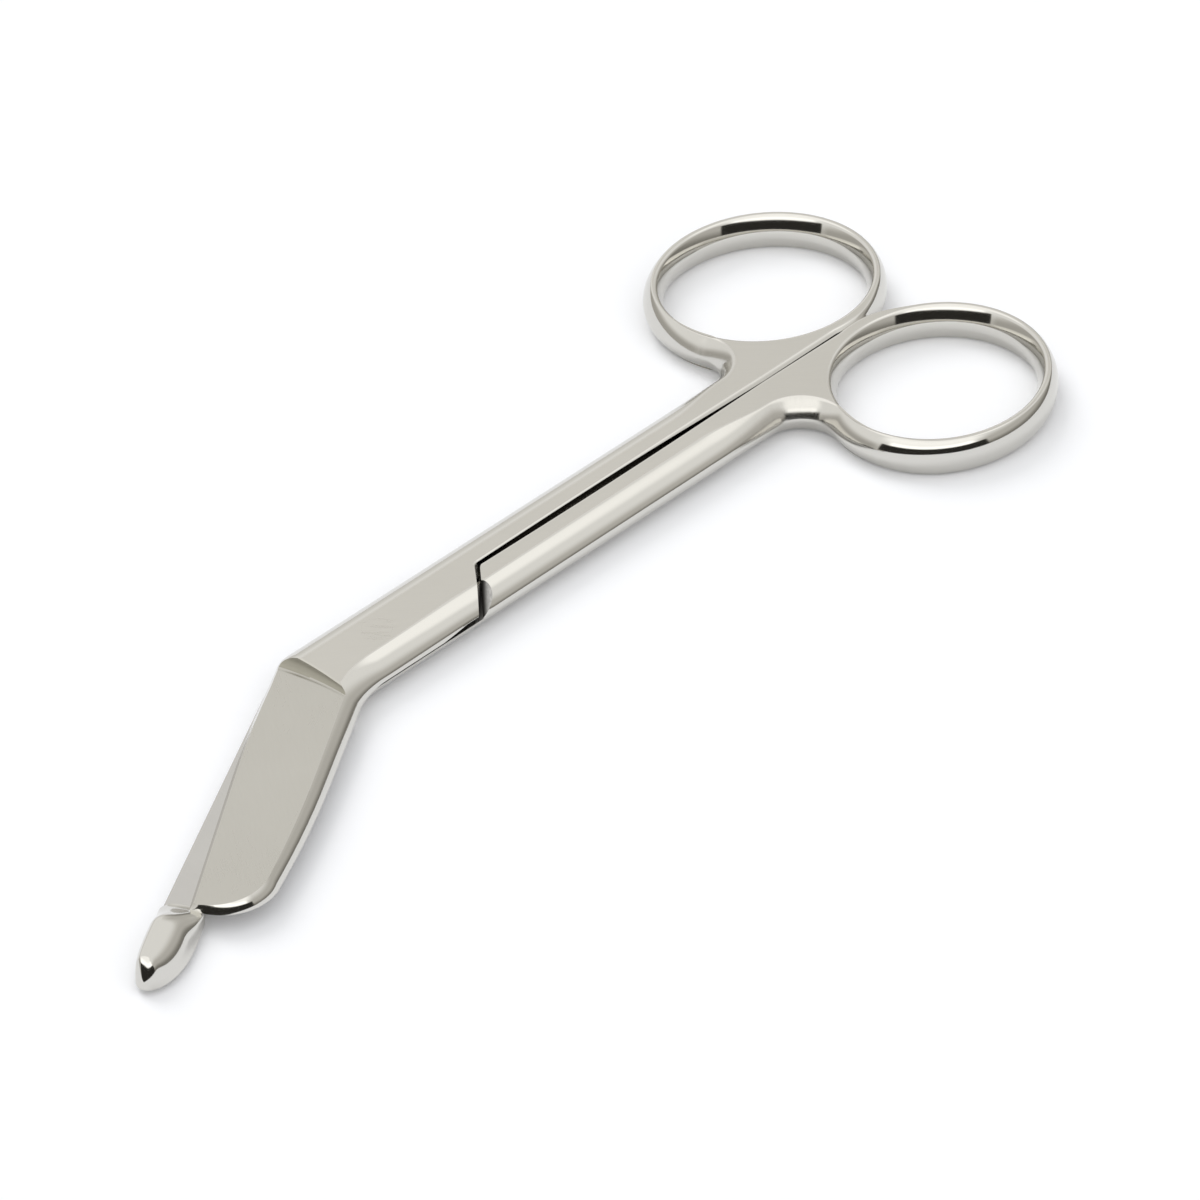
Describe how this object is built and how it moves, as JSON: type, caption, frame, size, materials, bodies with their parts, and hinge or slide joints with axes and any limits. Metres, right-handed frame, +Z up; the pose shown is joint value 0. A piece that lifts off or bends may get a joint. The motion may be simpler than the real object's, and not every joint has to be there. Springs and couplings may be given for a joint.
{
  "type": "bandage scissors",
  "caption": "Angled steel bandage scissors with oval finger rings, a short plain blade and a longer blade that ends in a blunt probe tip.",
  "frame": {"origin": "middle of the closed pair's box, on the table", "axes": "+X from the blades to the finger rings, +Y towards the ring of the upper half, +Z up"},
  "size_m": [0.14, 0.0502, 0.0044],
  "materials": {
    "upper_steel": "stainless steel, satin flats with polished rounded sides",
    "lower_steel": "stainless steel, satin flats with polished rounded sides",
    "screw_steel": "stainless steel, turned and ground flush on top"
  },
  "bodies": {
    "lower": {"lower_half": "lower_steel"},
    "upper": {"upper_half": "upper_steel", "pivot_screw": "screw_steel"}
  },
  "joints": [
    {"name": "blade_pivot", "type": "hinge", "parent": "lower", "child": "upper", "pos_m": [-0.01697, 0, 0], "axis": [0, 0, 1], "range_deg": [0, 90]}
  ]
}
